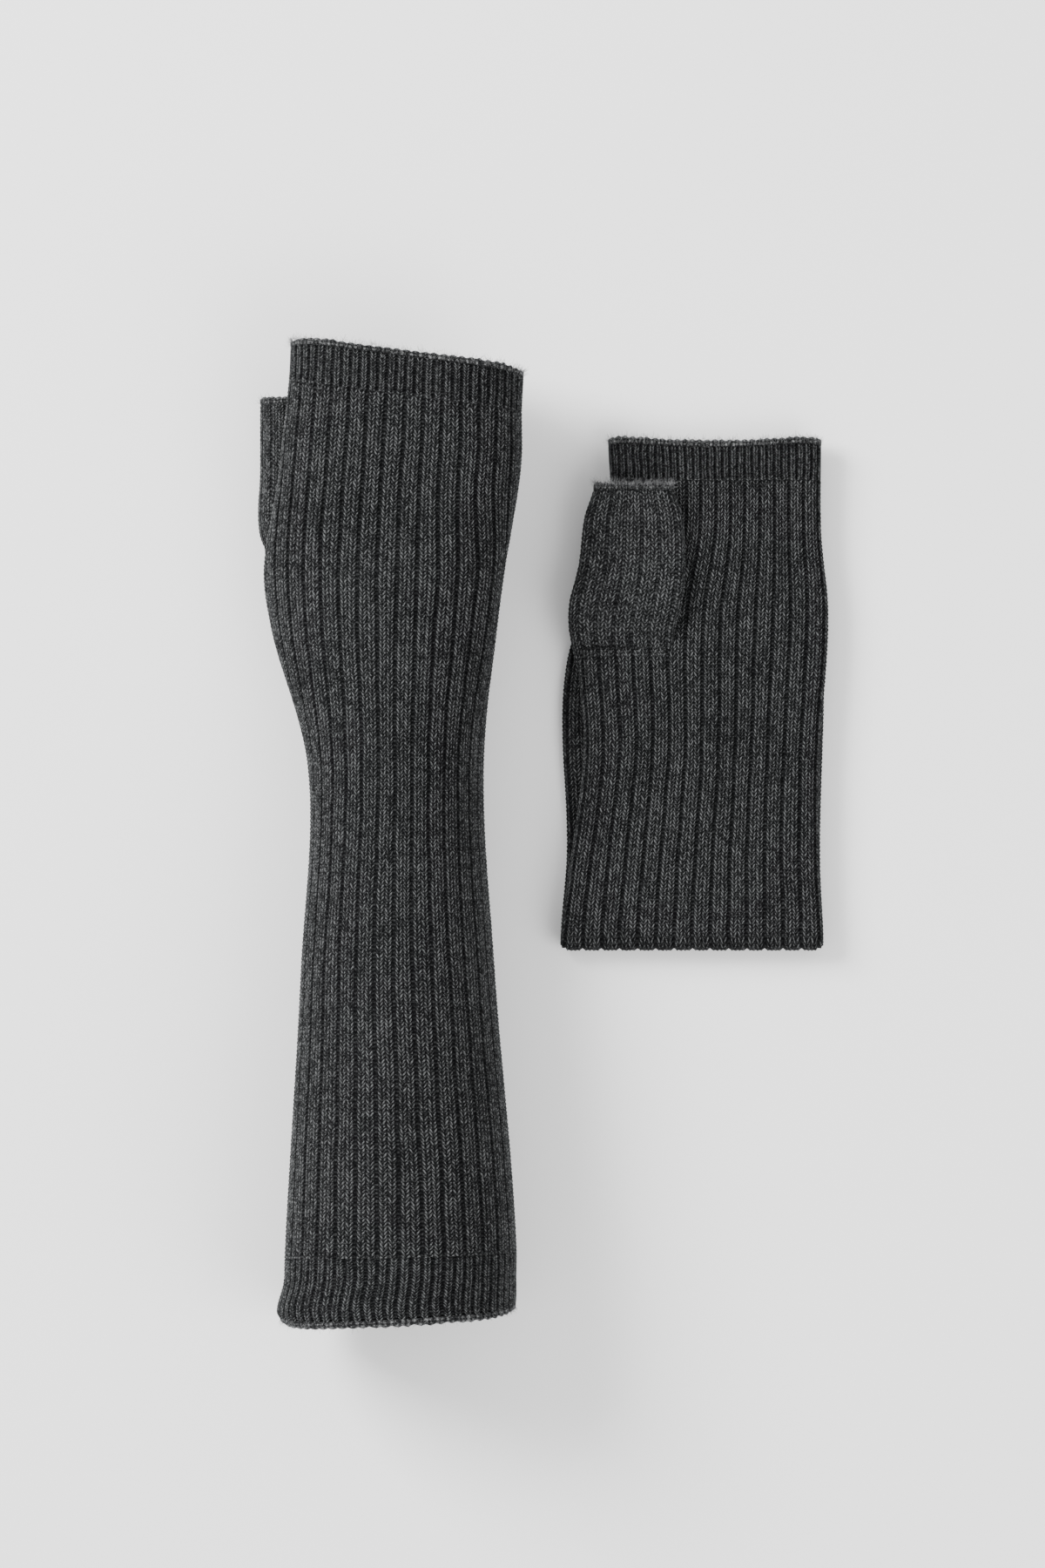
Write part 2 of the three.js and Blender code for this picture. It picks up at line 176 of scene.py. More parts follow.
def by_length(across, up, fractions):
    """For each course, the places that lie at the given fractions of the way round an outline."""
    lengths = np.cumsum(np.hypot(np.diff(across, axis=1), np.diff(up, axis=1)), axis=1)
    lengths = np.hstack([np.zeros((len(across), 1)), lengths])
    x, z = np.empty(fractions.shape), np.empty(fractions.shape)
    for row, length in enumerate(lengths):
        walked = fractions[row] % 1 * length[-1]
        x[row] = np.interp(walked, length, across[row])
        z[row] = np.interp(walked, length, up[row])
    return x, z


def outlines(half_width, half_depth, flat, tilt, start):
    """Closed outlines from the angle start round: two half ovals with a level stretch between them."""
    angle = start + np.linspace(0, 2 * math.pi, OUTLINE_STEPS + 1)[None, :]
    cosine = np.cos(angle)
    side = np.clip(cosine * 40, -1, 1)
    across = side * flat[:, None] + (half_width - flat)[:, None] * cosine
    up = half_depth[:, None] * np.sin(angle) + tilt[:, None] * across / half_width[:, None]
    return across, up


EDGE_ROUND = 0.0018         # how far a finger edge's corners are drawn in


def worn_slant(course):
    towards_arm = 1 - smoothstep(course, 0, 2 * forearm_from)
    return ARM_SLANT * towards_arm + FINGER_SLANT * smoothstep(course, thumb_from, finger_cuff_from)


def on_worn(course, fraction):
    """Places on the worn sleeve's outside, from underneath round. Both arguments are grids of rows."""
    level = course.mean(axis=1)
    x, half_width, half_depth, lift, flat, tilt = through(WORN_SECTIONS, level).T
    middle = np.maximum(lift, 0) + np.hypot(half_depth, tilt)
    twist = through(WORN_RIB_LINE, level) / (math.pi * (half_width + half_depth))[:, None]
    across, up = by_length(*outlines(half_width, half_depth, flat, tilt, -math.pi / 2), fraction - twist)
    along = worn_start + course + worn_slant(level)[:, None] * across
    corner = 1.2 * (1 - smoothstep(course, 0, 0.008))
    corner = corner - smoothstep(course, finger_cuff_from - 0.004, worn_length)
    along = along + EDGE_ROUND * corner * (across / half_width[:, None]) ** 10
    return np.stack([wrist_x + x[:, None] + across, along, middle[:, None] + up], axis=2)


def outwards(place, course, fraction, step=0.0004):
    """Unit vectors out of the fabric, by small moves along it and round it."""
    along = place(course + step, fraction) - place(course - step, fraction)
    around = place(course, fraction + 0.001) - place(course, fraction - 0.001)
    normal = np.cross(along, around)
    return normal / np.linalg.norm(normal, axis=2, keepdims=True)


def unevenness(rows, columns, cell_rows, cell_columns):
    """Smooth seeded unevenness between -1 and 1 on a grid whose columns close into a ring."""
    high, wide = max(rows // cell_rows, 1) + 3, max(columns // cell_columns, 3)
    lattice = SETTLE.uniform(-1, 1, (high, wide))
    row, column = np.linspace(0, high - 1.001, rows), np.linspace(0, wide, columns, endpoint=False)
    low, left = row.astype(int), column.astype(int)
    up, over = smoothstep(row - low, 0, 1)[:, None], smoothstep(column - left, 0, 1)[None, :]
    right = (left + 1) % wide
    below = lattice[np.ix_(low, left)] * (1 - over) + lattice[np.ix_(low, right)] * over
    above = lattice[np.ix_(low + 1, left)] * (1 - over) + lattice[np.ix_(low + 1, right)] * over
    return below * (1 - up) + above * up


def weave(name, grid, yarn, courses, painted_shade):
    """A mesh from a grid of places: a flat grid is moved there and its meeting edges are joined.

    yarn and courses are each column's and row's place in the knit, and painted_shade how much painted shade
    each place gets in the wool's colour, mostly by how deep it lies.
    """
    high, wide = grid.shape[0] - 1, grid.shape[1] - 1
    mesh = bpy.data.meshes.new(name)
    bm = bmesh.new()
    bmesh.ops.create_grid(bm, x_segments=wide, y_segments=high, size=1)
    bm.loops.layers.uv.new("Knit")
    bm.to_mesh(mesh)
    flat = np.empty(len(mesh.vertices) * 3)
    mesh.vertices.foreach_get("co", flat)
    column = np.rint((flat[0::3] + 1) / 2 * wide).astype(int)
    row = np.rint((flat[1::3] + 1) / 2 * high).astype(int)
    mesh.vertices.foreach_set("co", grid[row, column].ravel())
    mesh.attributes.new("PaintedShade", "FLOAT", "POINT").data.foreach_set("value", painted_shade[row, column])
    corner = np.empty(len(mesh.loops), int)
    mesh.loops.foreach_get("vertex_index", corner)
    uv = np.stack([yarn[column[corner]], courses[row[corner]]], axis=1)
    mesh.uv_layers["Knit"].data.foreach_set("uv", uv.ravel())
    bm.clear()
    bm.from_mesh(mesh)
    bmesh.ops.remove_doubles(bm, verts=[v for v in bm.verts if v.is_boundary], dist=1e-6)
    bmesh.ops.recalc_face_normals(bm, faces=bm.faces)
    bm.to_mesh(mesh)
    bm.free()
    mesh.shade_smooth()
    piece = bpy.data.objects.new(name, mesh)
    bpy.context.scene.collection.objects.link(piece)
    return piece


def knit(
    name, place, start, end, stitch=STITCH, rib=RIB, repeats=RIBS, relief=1.0, fade=(0, 0),
    back_row=BACK_ROW,
):
    """A zone of knit as a closed wall: the grid goes up its outside, over, down its inside and closes.

    start may differ from column to column. fade is how many courses the V's slope takes to grow at each
    end, where another kind of knit begins.
    """
    start = np.broadcast_to(np.asarray(start, float), (repeats * len(rib),))
    courses = max(round((end - start.mean()) / stitch), 1)
    face_rows = courses * ROWS
    back_rows = max(round((end - start.mean()) / back_row), 1)
    across = (np.repeat(np.arange(repeats), len(rib)) + np.tile(rib[:, 0], repeats)) / repeats
    crown, between, lean = (np.tile(rib[:, k], repeats)[None, :] for k in (1, 2, 3))
    stitches = math.ceil(rib[-1, 4])
    yarn = np.repeat(np.arange(repeats), len(rib)) * stitches + np.tile(rib[:, 4], repeats)

    row = np.arange(face_rows + 1)[:, None]
    done = row / face_rows
    slope = np.ones_like(done)
    if fade[0]:
        slope = slope * smoothstep(row, 0, fade[0] * ROWS)
    if fade[1]:
        slope = slope * smoothstep(face_rows - row, 0, fade[1] * ROWS)
    course = start[None, :] + done * (end - start)[None, :] + slope * CLIMB * stitch * (lean - 0.5)
    course = course + UNEVEN * unevenness(face_rows + 1, len(across), 5 * ROWS, 4)
    fraction = np.repeat(across[None, :], face_rows + 1, axis=0)
    fraction = fraction + 12 * UNEVEN * unevenness(face_rows + 1, len(across), 14 * ROWS, 10)
    ridge = 0.5 - 0.5 * np.cos(2 * math.pi * (row + FIRST_ROW) / ROWS)
    ridge = ridge / ridge.max()
    depth = ridge * crown + (1 - ridge) * between
    amount = relief(done) if callable(relief) else relief
    depth = 0.001 * np.maximum(amount * depth + ROUGH * SETTLE.uniform(-1, 1, depth.shape), 0)
    face = place(course, fraction) - outwards(place, course, fraction) * depth[:, :, None]

    back_done = 1 - np.arange(back_rows + 1)[:, None] / back_rows
    course = start[None, :] + back_done * (end - start)[None, :]
    fraction = np.repeat(across[None, :], back_rows + 1, axis=0)
    back_depth = np.broadcast_to(1.1 * WALL - 0.0003 + 0.00025 * crown, fraction.shape)
    back = place(course, fraction) - outwards(place, course, fraction) * back_depth[:, :, None]

    grid = np.vstack([face, back, face[:1]])
    # painted shade for the wool's colour: on the outside by how deep each place lies, on the inside a set
    # darkness that varies across each rib
    back_painted_shade = np.broadcast_to(0.7 - 0.4 * crown, fraction.shape)
    painted_shade = np.vstack([depth * 1000 / DEEPEST, back_painted_shade, depth[:1] * 1000 / DEEPEST])
    grid, painted_shade = (np.concatenate([part, part[:, :1]], axis=1) for part in (grid, painted_shade))
    back_courses = courses * (2 - back_done[:, 0]) + 1
    face_courses = (np.arange(face_rows + 1) + FIRST_ROW) / ROWS
    rows = np.concatenate([face_courses, back_courses, [2 * courses + 2]])
    return weave(name, grid, np.append(yarn, repeats * stitches), rows, painted_shade)


class Wire:
    """A value in a material's node tree, or a plain number, that adds Math nodes as it is reckoned with."""

    def __init__(self, dye, socket):
        self.dye, self.socket = dye, socket

    def _with(self, operation, *others):
        return self.dye.node("ShaderNodeMath", {"operation": operation}, (self, *others))

    def __add__(self, other):
        return self._with("ADD", other)

    def __sub__(self, other):
        return self._with("SUBTRACT", other)

    def __rsub__(self, other):
        return self.dye.node("ShaderNodeMath", {"operation": "SUBTRACT"}, (other, self))

    def __mul__(self, other):
        return self._with("MULTIPLY", other)

    __radd__, __rmul__ = __add__, __mul__

    def floor(self):
        return self._with("FLOOR")

    def cosine(self):
        return self._with("COSINE")

    def clear(self, low, high):
        """0 below low, 1 above high and straight between them."""
        limits = {0: self, 1: low, 2: high, 3: 0.0, 4: 1.0}
        return self.dye.node("ShaderNodeMapRange", {"clamp": True}, limits)


class Dye:
    """A material under construction."""

    def __init__(self, name):
        self.material = bpy.data.materials.new(name)
        self.material.use_nodes = True
        self.tree = self.material.node_tree
        self.shader = self.tree.nodes["Principled BSDF"]

    def node(self, kind, settings, inputs, output=0):
        made = self.tree.nodes.new(kind)
        for key, value in settings.items():
            setattr(made, key, value)
        pairs = inputs.items() if isinstance(inputs, dict) else enumerate(inputs)
        for key, value in pairs:
            self.feed(made.inputs[key], value)
        return Wire(self, made.outputs[output])

    def feed(self, socket, value):
        if isinstance(value, Wire):
            self.tree.links.new(value.socket, socket)
        else:
            socket.default_value = value

    def mix(self, amount, low, high):
        return self.node("ShaderNodeMix", {"data_type": "RGBA"}, {0: amount, 6: low, 7: high}, 2)


def marled_wool(name, dark, light, seed=0.0, fuzz=0.035):
    """Charcoal wool spun from black, grey and pale fibres, coloured stitch by stitch, with painted shade in
    its grooves, between stitches and on the wall's inside, and a painted highlight along the middle of each
    stitch's arms.
    """
    dye = Dye(name)
    knit_map = dye.node("ShaderNodeUVMap", {"uv_map": "Knit"}, ())
    parts = dye.tree.nodes.new("ShaderNodeSeparateXYZ")
    dye.feed(parts.inputs[0], knit_map)
    along, course = Wire(dye, parts.outputs[0]), Wire(dye, parts.outputs[1])
    body = dye.node("ShaderNodeTexCoord", {}, (), 3)

    def cloud(vector, scale, detail=2.0, rough=0.5):
        settings = {0: vector, 2: scale, 3: detail, 4: rough}
        return dye.node("ShaderNodeTexNoise", {"noise_dimensions": "3D"}, settings)

    def at(x, y, z=seed):
        return dye.node("ShaderNodeCombineXYZ", {}, (x, y, z))

    wobble = cloud(body, 520.0, 2.0, 0.6)
    drift = cloud(at(along * 0.9, course * 0.9, seed + 9.0), 1.0, 1.0, 0.5)
    along, course = along + (drift - 0.5) * 0.45, course + (wobble - 0.5) * 0.75
    leg = at((along + 0.5).floor(), course.floor())
    own = dye.node("ShaderNodeTexWhiteNoise", {"noise_dimensions": "3D"}, {0: leg})
    fibres = cloud(at(along * 2.6, course * 6.0), 1.0, 3.0, 0.75)
    specks = cloud(body, 1700.0, 2.0, 0.7)
    patches = cloud(body, 150.0, 2.0, 0.6)
    broad = cloud(body, 45.0, 1.0, 0.5)
    # painted shade: the attribute read here darkens the colour where the knit lies deep, in grooves, between
    # stitches and on the wall's inside
    painted_shade = dye.node("ShaderNodeAttribute", {"attribute_name": "PaintedShade"}, (), 2)
    turn = 2 * math.pi
    # painted highlight along the middle of each stitch's arms, and painted shade at their sides and between
    # courses
    across_leg = 0.5 + 0.5 * (along * turn).cosine()
    up_leg = 0.5 - 0.5 * (course * turn).cosine()

    # painted light and shade, multiplied into the marled tone of the yarn
    painted_light_and_shade = (0.06 + 0.94 * (1 - painted_shade).clear(0, 0.85)) * (0.22 + 0.78 * across_leg) * (0.22 + 0.78 * up_leg)
    yarn = (0.60 * own + 2.3 * fibres + 4.2 * specks + 0.35 * patches + 0.3 * broad - 3.50).clear(0.0, 1.3)
    tint = dye.mix((painted_light_and_shade * (0.10 + 1.80 * yarn)).clear(0.0, 1.0), dark, light)
    dye.feed(dye.shader.inputs["Base Color"], tint)
    dye.shader.inputs["Roughness"].default_value = 0.93
    dye.shader.inputs["Specular IOR Level"].default_value = 0.06
    dye.shader.inputs["Sheen Weight"].default_value = fuzz
    dye.shader.inputs["Sheen Roughness"].default_value = 0.45
    dye.shader.inputs["Sheen Tint"].default_value = (0.75, 0.77, 0.8, 1)
    hairs = cloud(body, 2600.0, 2.0, 0.7)
    nap = fibres * 0.7 + hairs * 0.5
    bump = dye.node("ShaderNodeBump", {}, {"Strength": 0.7, "Distance": 0.00025, "Height": nap})
    dye.feed(dye.shader.inputs["Normal"], bump)
    return dye.material


rib_wool = marled_wool("marled_rib_wool", (0.0009, 0.0010, 0.0013, 1), (0.098, 0.101, 0.102, 1))


def finish(piece, body, slot, wool, *nodes):
    piece.data.materials.append(wool)
    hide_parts(*nodes)
    if body:
        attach(piece, body)


right_forearm = knit("right_forearm_knit", on_worn, forearm_from, wrist_from, fade=(0.7, 0))
finish(right_forearm, "right_arm_part", "body_rib", rib_wool, "right_forearm")

right_wrist = knit("right_wrist_knit", on_worn, wrist_from, hand_from)
finish(right_wrist, None, "body_rib", rib_wool, "right_wrist")
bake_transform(right_wrist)

# ---- right hand -----------------------------------------------------------------------------------
# The rib widens over the thumb's root and flattens across the palm and the back of the hand. An opening
# at the thumb side lets the thumb's sleeve out, forwards and under the edge of the hand.
THUMB_LENGTH = 0.062
THUMB_RADIUS = 0.0116
THUMB_ROOT_RADIUS = 0.0132
THUMB_INSET = 0.0013
root_side = through(WORN_SECTIONS, np.array([thumb_from]))[0]
thumb_outer_x = root_side[0] - root_side[1] - THUMB_INSET
# course along the thumb, x of the middle, radius, height of the middle
THUMB_SECTIONS = [
    (0, thumb_outer_x + 0.017, THUMB_ROOT_RADIUS - 0.0022, 0.0155),
    (0.014, thumb_outer_x + THUMB_ROOT_RADIUS, THUMB_ROOT_RADIUS, THUMB_ROOT_RADIUS),
    (0.0372, thumb_outer_x + THUMB_RADIUS, THUMB_RADIUS, THUMB_RADIUS),
    (THUMB_LENGTH, thumb_outer_x + THUMB_RADIUS, THUMB_RADIUS, THUMB_RADIUS),
]


def worn_thumb_middle(y):
    x, radius, height = through(THUMB_SECTIONS, np.asarray(y) - worn_start - thumb_from).T
    return wrist_x + x, np.maximum(height, radius), radius, radius


def out_of_worn(point):
    """How far points are outside the worn sleeve's outline, as a rough distance in metres."""
    x, y, z = point
    course = y - worn_start
    for _ in range(3):
        middle = through(WORN_SECTIONS, course)[:, 0]
        course = y - worn_start - worn_slant(course) * (x - wrist_x - middle)
    middle, half_width, half_depth, lift, flat, tilt = through(WORN_SECTIONS, course).T
    across = x - wrist_x - middle
    height = z - np.maximum(lift, 0) - np.hypot(half_depth, tilt) - tilt * across / half_width
    over = np.maximum(np.abs(across) - flat, 0) / (half_width - flat)
    return (np.hypot(over, height / half_depth) - 1) * half_depth


def loops_of(edges):
    """The corners of each closed run of edges, in order."""
    left, loops = dict.fromkeys(edges), []
    while left:
        edge = next(iter(left))
        run = list(edge.verts)
        while edge:
            del left[edge]
            edge = next((e for e in run[-1].link_edges if e in left), None)
            if edge:
                run.append(edge.other_vert(run[-1]))
        loops.append(run[:-1])
    return loops


def close_between(bm, first, second):
    """Triangles between two closed runs of corners, always across the shorter diagonal."""
    near = min(range(len(second)), key=lambda k: (second[k].co - first[0].co).length)
    second = second[near:] + second[:near]
    ahead, quarter = first[len(first) // 4].co, len(second) // 4
    if (second[quarter].co - ahead).length > (second[-quarter].co - ahead).length:
        second = second[:1] + second[:0:-1]
    a, b = first + first[:1], second + second[:1]
    i = j = 0
    while i < len(first) or j < len(second):
        here = [a[i], b[j]]
        nearer = (
            j == len(second)
            or i < len(first) and (a[i + 1].co - b[j].co).length <= (a[i].co - b[j + 1].co).length
        )
        if nearer:
            i += 1
            here.append(a[i])
        else:
            j += 1
            here.append(b[j])
        bmesh.ops.contextual_create(bm, geom=here)


def open_for_thumb(piece, middle_at, start_y, end_y, lowest=0.0, spare=0.0002):
    """Cuts the thumb's way out of both faces of a hand's wall above lowest, and closes the cut's rim."""
    bm = bmesh.new()
    bm.from_mesh(piece.data)
    place = np.array([v.co for v in bm.verts])
    x, z, half_width, half_depth = middle_at(place[:, 1])
    near = x + np.clip(place[:, 0] - x, half_depth - half_width, half_width - half_depth)
    reach = np.hypot(place[:, 0] - near, place[:, 2] - z)
    within = (place[:, 1] > start_y) & (place[:, 1] < end_y) & (place[:, 2] > lowest)
    inside = within & (reach < half_depth + spare)
    doomed = [f for f in bm.faces if all(inside[v.index] for v in f.verts)]
    for vert in bm.verts:
        i = vert.index
        if inside[i] and reach[i] > half_depth[i] / 2:
            grow = (half_depth[i] + spare) / reach[i]
            vert.co.x = near[i] + (vert.co.x - near[i]) * grow
            vert.co.z = z[i] + (vert.co.z - z[i]) * grow
    bmesh.ops.delete(bm, geom=doomed, context="FACES")
    while pinched := [v for v in bm.verts if sum(e.is_boundary for e in v.link_edges) > 2]:
        bmesh.ops.delete(bm, geom=pinched, context="VERTS")
    rims = loops_of([e for e in bm.edges if e.is_boundary])
    outer, inner = sorted(rims, key=len, reverse=True)[:2]
    close_between(bm, outer, inner)
    bmesh.ops.holes_fill(bm, edges=[e for e in bm.edges if e.is_boundary])
    bmesh.ops.recalc_face_normals(bm, faces=bm.faces)
    bm.to_mesh(piece.data)
    bm.free()
    piece.data.shade_smooth()


right_hand = knit("right_hand_knit", on_worn, hand_from, finger_cuff_from, fade=(0, 0.7))
thumb_y = worn_start + thumb_from
open_for_thumb(right_hand, worn_thumb_middle, thumb_y, thumb_y + THUMB_LENGTH)
finish(right_hand, "right_hand_part", "body_rib", rib_wool, "right_hand")

# ---- right cuffs ----------------------------------------------------------------------------------
# Fine one-by-one rib, knitted on at both ends of the sleeve to hold it.
FINE_RIB = np.array([
    (0.00, 1.05, 1.10, 1.0, 0.0),
    (0.15, 0.60, 0.85, 1.0, 0.6),
    (0.31, 0.00, 0.50, 0.5, 1.0),
    (0.50, 0.34, 0.60, 0.0, 1.5),
    (0.69, 0.00, 0.50, 0.5, 2.0),
    (0.85, 0.60, 0.85, 1.0, 2.4),
])
CUFF_STITCH = 0.00105
FINE_RIBS = 60
cuff_wool = marled_wool("marled_cuff_wool", (0.0009, 0.0010, 0.0013, 1), (0.090, 0.093, 0.094, 1), 3.0)

right_arm_cuff = knit(
    "right_arm_cuff_knit", on_worn, EDGE_LENGTH, forearm_from, CUFF_STITCH, FINE_RIB, FINE_RIBS,
    fade=(0, 0.7),
)
finish(right_arm_cuff, "right_arm_part", "cuff_rib", cuff_wool, "right_arm_cuff")
right_finger_cuff = knit(
    "right_finger_cuff_knit", on_worn, finger_cuff_from, finger_edge_from, CUFF_STITCH, FINE_RIB, FINE_RIBS,
    fade=(0.7, 0),
)
finish(right_finger_cuff, "right_hand_part", "cuff_rib", cuff_wool, "right_finger_cuff")

# ---- right edges ----------------------------------------------------------------------------------
# The cast-on and bound-off loops that finish each end: a soft rolled lip, one slanting link to each rib,
# a little paler than the knit, with stray fibres of the wool standing off it.
EDGE_WALL = 0.0023
LINK_HEIGHT = 0.00052
LINK_FACES = 10
edge_wool = marled_wool("marled_edge_wool", (0.0020, 0.0022, 0.0026, 1), (0.140, 0.143, 0.144, 1), 7.0, 0.12)


def looped_edge(name, place, inner_end, outer_end, links, lip=EDGE_WALL):
    """A rolled edge from where it meets the knit to its lip, with one lump to each link of the chain."""
    length = outer_end - inner_end
    way = math.copysign(1, length)
    radius = lip / 2
    turn = np.radians(np.linspace(-90, 90, 9))
    reach = abs(length)
    along = np.concatenate([[0, 0.4 * (reach - radius)], reach - radius * (1 - np.cos(turn)), [0.0]])
    depth = np.concatenate([[0.0002, 0.0], radius * (1 + np.sin(turn)), [lip]])
    round_it = np.concatenate([[-90, -90], np.degrees(turn), [90]])
    columns = links * LINK_FACES
    across = np.arange(columns)[None, :] / columns
    phase = 2 * math.pi * (across * links + round_it[:, None] / 260)
    lump = LINK_HEIGHT * (0.5 - 0.5 * np.cos(phase)) * np.where(round_it < 60, 1, 0.4)[:, None]
    ragged = 0.00016 * np.repeat(SETTLE.uniform(-1, 1, links), LINK_FACES)[None, :]
    ragged = ragged + 0.0005 * unevenness(4, columns, 2, 5 * LINK_FACES)[1][None, :]
    lump = lump + ragged * np.cos(np.radians(round_it))[:, None]
    tip = np.cos(np.radians(round_it))[:, None]
    course = inner_end + way * (along[:, None] - lump * tip)
    sink = depth[:, None] - lump * np.sin(np.radians(round_it))[:, None]
    fraction = np.repeat(across, len(along), axis=0)
    grid = place(course, fraction) - outwards(place, course, fraction) * sink[:, :, None]
    grid = np.vstack([grid, grid[:1]])
    # painted shade for the wool's colour, following the lump of each link
    painted_shade = 0.75 * lump / LINK_HEIGHT
    painted_shade = np.vstack([painted_shade, painted_shade[:1]])
    grid, painted_shade = (np.concatenate([part, part[:, :1]], axis=1) for part in (grid, painted_shade))
    rows = np.concatenate([along, [2 * along.max()]]) / STITCH
    return weave(name, grid, np.arange(columns + 1) * 2 / LINK_FACES, rows, painted_shade)


HAIR = 0.000035             # radius of a stray fibre
HAIR_ROOT = 0.0004          # how deep a fibre starts inside the yarn
HAIR_BEND = 0.00022         # how far it bends aside
BENDS = 900                 # bends to a metre, as an angle
CLEAR_OF_TABLE = 0.0006


def hairs(name, place, course, count, spread, length, body, slot="edge_yarn"):
    """Stray wool fibres standing off an edge: thin closed spikes, cut into short lengths and bent."""
    fraction = SETTLE.random((1, count))
    at = course + spread * SETTLE.uniform(-1, 1, (1, count))
    roots = place(at, fraction)[0]
    out = outwards(place, at, fraction)[0]
    way = place(at + 0.0005, fraction)[0] - roots
    way *= math.copysign(1, length) / np.linalg.norm(way, axis=1, keepdims=True)
    lean = SETTLE.normal(0, 0.55, (count, 3))
    reach = abs(length) * SETTLE.uniform(0.35, 1.0, count)
    bm = bmesh.new()
    for root, aside, ahead, stray, far in zip(roots, out, way, lean, reach):
        to = Vector(0.75 * ahead + 0.45 * aside + stray).normalized()
        spike = Vector(root - HAIR_ROOT * aside)
        if (spike + to * far).z < CLEAR_OF_TABLE:
            continue
        matrix = to.to_track_quat("Z", "Y").to_matrix().to_4x4()
        matrix.translation = spike + to * (far / 2)
        bmesh.ops.create_cone(
            bm, cap_ends=True, cap_tris=True, segments=3, radius1=HAIR, radius2=HAIR / 2, depth=far,
            matrix=matrix,
        )
    long = [e for e in bm.edges if e.calc_length() > 6 * HAIR]
    bmesh.ops.subdivide_edges(bm, edges=long, cuts=2)
    for vert in bm.verts:
        where = vert.co * BENDS
        aside = Vector((math.sin(where.y + where.z), math.sin(where.x * 1.3), math.sin(where.x - where.y)))
        vert.co += aside * HAIR_BEND
    mesh = bpy.data.meshes.new(name)
    bm.to_mesh(mesh)
    bm.free()
    mesh.shade_smooth()
    piece = bpy.data.objects.new(name, mesh)
    bpy.context.scene.collection.objects.link(piece)
    piece.data.materials.append(hair_wool)
    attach(piece, body)
    return piece


hair_dye = Dye("stray_fibres")
grey = hair_dye.node("ShaderNodeTexCoord", {}, (), 3)
grey = hair_dye.node("ShaderNodeTexNoise", {}, {0: grey, 2: 400.0})
hair_dye.feed(
    hair_dye.shader.inputs["Base Color"],
    hair_dye.mix(grey.clear(0.35, 0.65), (0.030, 0.031, 0.033, 1), (0.22, 0.222, 0.225, 1)),
)
hair_dye.shader.inputs["Roughness"].default_value = 0.9
hair_wool = hair_dye.material

right_arm_edge = looped_edge("right_arm_cast_on", on_worn, EDGE_LENGTH, 0, FINE_RIBS)
finish(right_arm_edge, "right_arm_part", "edge_yarn", edge_wool, "right_arm_edge")
right_finger_edge = looped_edge("right_finger_bind_off", on_worn, finger_edge_from, worn_length, FINE_RIBS)
finish(right_finger_edge, "right_hand_part", "edge_yarn", edge_wool, "right_finger_edge")

hairs("right_finger_hairs", on_worn, worn_length - 0.0012, 1500, 0.0012, 0.0030, "right_hand_part")
hairs("right_arm_hairs", on_worn, 0.0012, 700, 0.0012, -0.0022, "right_arm_part")

# ---- right thumb ----------------------------------------------------------------------------------
# A short tube knitted on to the opening, in the same rib but pulled flatter. Linking stitches run round
# its root and a bound-off edge finishes it.
THUMB_RIBS = 13
THUMB_STITCH = STITCH * 0.95
THUMB_RELIEF = 0.7          # of the body's
SPREAD_REACH = 0.020        # knit kept inside the hand, that is drawn out when the thumb spreads
THUMB_SEAM = 0.0016         # how far the sleeve's root reaches in through the hand's wall
LONGEST_ROOT = 0.030        # the linking runs no further along the thumb than this
thumb_wool = marled_wool("marled_thumb_wool", (0.0009, 0.0010, 0.0013, 1), (0.096, 0.099, 0.100, 1), 11.0)


def oval_walk(fraction, half_width, half_depth):
    """Places at a fraction of the way round a flat-sided oval, from the middle of its underside."""
    flat = half_width - half_depth
    bend = math.pi * half_depth
    walked = fraction % 1 * (4 * flat + 2 * bend)
    right = np.clip((walked - flat) / half_depth, 0, math.pi) - math.pi / 2
    left = np.clip((walked - 3 * flat - bend) / half_depth, 0, math.pi) + math.pi / 2
    on_left = walked > 3 * flat + bend
    angle = np.where(on_left, left, right)
    sides = [walked < flat, walked < flat + bend, ~on_left, walked < 3 * flat + 2 * bend]
    level = np.select(sides, [walked, flat + 0 * walked, 2 * flat + bend - walked, 0 * walked - flat],
                      walked - 4 * flat - 2 * bend)
    return level + half_depth * np.cos(angle), half_depth * np.sin(angle)


def on_worn_thumb(course, fraction):
    x, radius, height = through(THUMB_SECTIONS, course.ravel()).T.reshape(3, *course.shape)
    across, up = oval_walk(fraction, radius, radius)
    y = worn_start + thumb_from + course
    return np.stack([wrist_x + x + across, y, np.maximum(height, radius) + up], axis=2)


def root_courses(place, outside, columns):
    """Where each column of a thumb comes out of the hand."""
    fraction = np.arange(columns) / columns
    steps = np.linspace(0, LONGEST_ROOT, 121)
    points = place(np.repeat(steps[:, None], columns, axis=1), np.repeat(fraction[None, :], 121, axis=0))
    hidden = outside(points.reshape(-1, 3).T).reshape(121, columns) < 0
    last = np.where(hidden.any(axis=0), 120 - np.argmax(hidden[::-1], axis=0), 0)
    root = steps[last]
    for _ in range(2):
        root = (np.roll(root, 1) + root + np.roll(root, -1)) / 3
    return root


